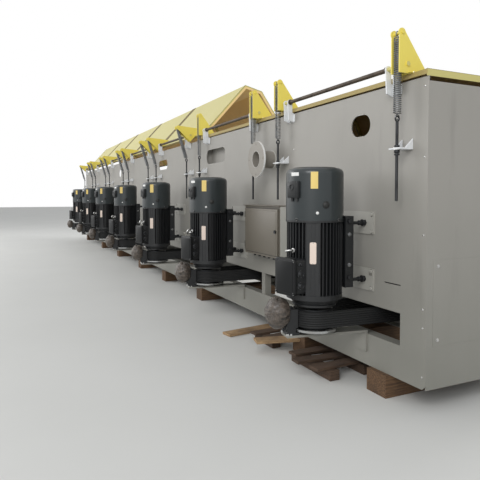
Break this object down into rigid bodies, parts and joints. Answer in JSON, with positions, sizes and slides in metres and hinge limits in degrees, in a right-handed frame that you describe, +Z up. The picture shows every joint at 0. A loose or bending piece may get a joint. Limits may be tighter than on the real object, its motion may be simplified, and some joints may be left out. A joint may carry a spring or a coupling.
{
  "type": "straight-line wire drawing machine",
  "caption": "Long floor-standing wire drawing machine: a row of upright motors with belt drives and brakes on a tall back panel, and hinged guard hoods over the drums.",
  "frame": {"origin": "on the floor under the middle of the machine's length, in the plane of the back panel's motor side", "axes": "+X along the machine towards the near end, -Y towards the motors, +Y towards the drums, +Z up"},
  "size_m": [14.7, 2.2141, 2.9686],
  "materials": {
    "panel_paint": "satin",
    "pale_paint": "satin",
    "box_paint": "satin",
    "slate_paint": "gloss",
    "black_paint": "satin",
    "hood_paint": "satin",
    "bright_steel": "bright",
    "dark_steel": "oiled",
    "zinc_steel": "satin",
    "belt_rubber": "matt",
    "film_wrap": "wrapped",
    "timber": "sawn"
  },
  "bodies": {
    "root": {"timbers": "timber", "base_beams": "panel_paint", "cross_members": "panel_paint", "frame_posts": "panel_paint", "panel_ends": "panel_paint", "back_panel": "panel_paint", "end_walls": "panel_paint", "deck": "panel_paint", "front_apron": "panel_paint", "duct_flange": "pale_paint", "junction_box": "box_paint", "fan_covers": "slate_paint", "motor_bodies": "black_paint", "motor_feet": "black_paint", "terminal_boxes": "black_paint", "lifting_eyes": "bright_steel", "tension_studs": "dark_steel", "stud_pads": "pale_paint", "drive_belts": "belt_rubber", "driven_pulleys": "dark_steel", "gearboxes": "slate_paint", "drums": "bright_steel", "die_boxes": "slate_paint", "brake_brackets": "pale_paint", "brake_calipers": "black_paint", "brake_chambers": "film_wrap", "hinge_brackets": "zinc_steel", "rod_brackets": "zinc_steel", "spring_rods": "dark_steel", "springs_1": "dark_steel", "springs_2": "dark_steel", "springs_3": "dark_steel", "springs_4": "dark_steel", "springs_5": "dark_steel", "springs_6": "dark_steel", "springs_7": "dark_steel"},
    "motor_pulley_1": {"motor_pulley_1": "dark_steel"},
    "motor_pulley_2": {"motor_pulley_2": "dark_steel"},
    "motor_pulley_3": {"motor_pulley_3": "dark_steel"},
    "motor_pulley_4": {"motor_pulley_4": "dark_steel"},
    "motor_pulley_5": {"motor_pulley_5": "dark_steel"},
    "motor_pulley_6": {"motor_pulley_6": "dark_steel"},
    "motor_pulley_7": {"motor_pulley_7": "dark_steel"},
    "hood_1": {"hood_1": "hood_paint"},
    "hood_2": {"hood_2": "hood_paint"},
    "hood_3": {"hood_3": "hood_paint"},
    "hood_4": {"hood_4": "hood_paint"},
    "hood_5": {"hood_5": "hood_paint"},
    "hood_6": {"hood_6": "hood_paint"},
    "hood_7": {"hood_7": "hood_paint"}
  },
  "joints": [
    {"name": "pulley_spin_1", "type": "hinge", "parent": "root", "child": "motor_pulley_1", "pos_m": [6.654, -0.385, 0.54], "axis": [0, 0, 1], "continuous": true},
    {"name": "pulley_spin_2", "type": "hinge", "parent": "root", "child": "motor_pulley_2", "pos_m": [4.554, -0.385, 0.54], "axis": [0, 0, 1], "continuous": true},
    {"name": "pulley_spin_3", "type": "hinge", "parent": "root", "child": "motor_pulley_3", "pos_m": [2.454, -0.385, 0.54], "axis": [0, 0, 1], "continuous": true},
    {"name": "pulley_spin_4", "type": "hinge", "parent": "root", "child": "motor_pulley_4", "pos_m": [0.354, -0.385, 0.54], "axis": [0, 0, 1], "continuous": true},
    {"name": "pulley_spin_5", "type": "hinge", "parent": "root", "child": "motor_pulley_5", "pos_m": [-1.746, -0.385, 0.54], "axis": [0, 0, 1], "continuous": true},
    {"name": "pulley_spin_6", "type": "hinge", "parent": "root", "child": "motor_pulley_6", "pos_m": [-3.846, -0.385, 0.54], "axis": [0, 0, 1], "continuous": true},
    {"name": "pulley_spin_7", "type": "hinge", "parent": "root", "child": "motor_pulley_7", "pos_m": [-5.946, -0.385, 0.54], "axis": [0, 0, 1], "continuous": true},
    {"name": "hood_hinge_1", "type": "hinge", "parent": "root", "child": "hood_1", "pos_m": [6.38, -0.045, 2.268], "axis": [1, 0, 0], "range_deg": [0, 48], "deforming": ["springs_1"]},
    {"name": "hood_hinge_2", "type": "hinge", "parent": "root", "child": "hood_2", "pos_m": [4.28, -0.045, 2.268], "axis": [1, 0, 0], "range_deg": [0, 48], "deforming": ["springs_2"]},
    {"name": "hood_hinge_3", "type": "hinge", "parent": "root", "child": "hood_3", "pos_m": [2.18, -0.045, 2.268], "axis": [1, 0, 0], "range_deg": [-48, 0], "deforming": ["springs_3"]},
    {"name": "hood_hinge_4", "type": "hinge", "parent": "root", "child": "hood_4", "pos_m": [0.08, -0.045, 2.268], "axis": [1, 0, 0], "range_deg": [-48, 0], "deforming": ["springs_4"]},
    {"name": "hood_hinge_5", "type": "hinge", "parent": "root", "child": "hood_5", "pos_m": [-2.02, -0.045, 2.268], "axis": [1, 0, 0], "range_deg": [-48, 0], "deforming": ["springs_5"]},
    {"name": "hood_hinge_6", "type": "hinge", "parent": "root", "child": "hood_6", "pos_m": [-4.12, -0.045, 2.268], "axis": [1, 0, 0], "range_deg": [-48, 0], "deforming": ["springs_6"]},
    {"name": "hood_hinge_7", "type": "hinge", "parent": "root", "child": "hood_7", "pos_m": [-6.22, -0.045, 2.268], "axis": [1, 0, 0], "range_deg": [-48, 0], "deforming": ["springs_7"]}
  ]
}
